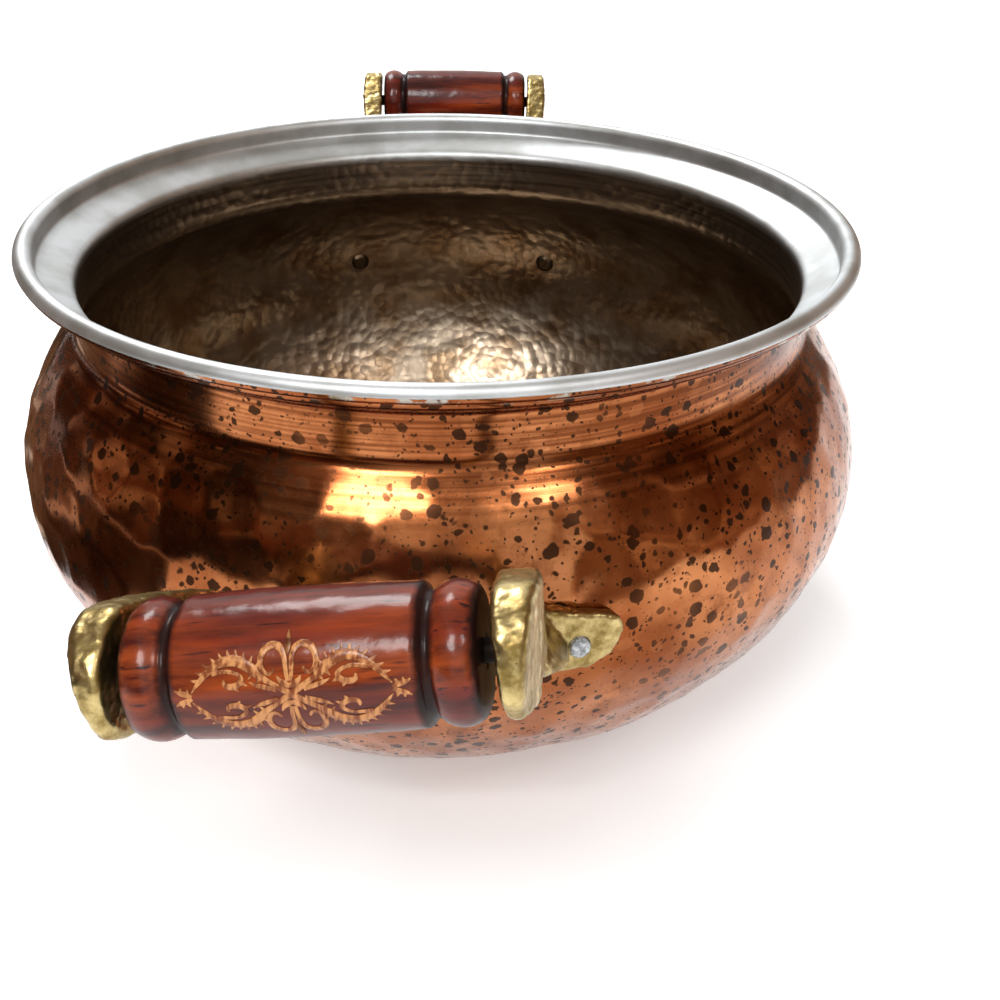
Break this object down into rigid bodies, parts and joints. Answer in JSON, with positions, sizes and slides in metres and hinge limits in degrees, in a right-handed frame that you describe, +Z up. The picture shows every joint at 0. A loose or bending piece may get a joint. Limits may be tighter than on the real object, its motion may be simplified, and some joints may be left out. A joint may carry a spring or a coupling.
{
  "type": "stockpot",
  "caption": "Hand-hammered copper stockpot of the handi kind: bulging belly, short neck and stepped rim for a lid, tinned inside, with wooden grips that turn between cast brass brackets.",
  "frame": {"origin": "centre of the round foot on which the pot stands", "axes": "+Z up along the pot's axis, +Y towards the back handle, +X to the right of someone facing the front handle"},
  "size_m": [0.298, 0.4637, 0.1662],
  "materials": {
    "hammered_copper": "hand-hammered copper with dark oxide spots",
    "tin": "wiped hot tin, satin",
    "cast_brass": "sand-cast, lightly polished",
    "lacquered_hardwood": "glossy lacquer over red-brown stain",
    "aluminium": "hammered rivet head",
    "steel": "drawn steel"
  },
  "bodies": {
    "pot": {"copper_body": "hammered_copper", "tin_lining": "tin", "rim_wire": "steel", "front_rod": "steel", "back_rod": "steel", "front_left_bracket": "cast_brass", "front_left_rivet": "aluminium", "front_right_bracket": "cast_brass", "front_right_rivet": "aluminium", "back_left_bracket": "cast_brass", "back_left_rivet": "aluminium", "back_right_bracket": "cast_brass", "back_right_rivet": "aluminium"},
    "front_grip": {"front_grip": "lacquered_hardwood"},
    "back_grip": {"back_grip": "lacquered_hardwood"}
  },
  "joints": [
    {"name": "front_grip_turn", "type": "hinge", "parent": "pot", "child": "front_grip", "pos_m": [-0.02687, -0.21422, 0.1406], "axis": [0.9816, -0.1231, 0.1461], "continuous": true},
    {"name": "back_grip_turn", "type": "hinge", "parent": "pot", "child": "back_grip", "pos_m": [0.00614, 0.21581, 0.1513], "axis": [0.9996, -0.0284, 0], "continuous": true}
  ]
}
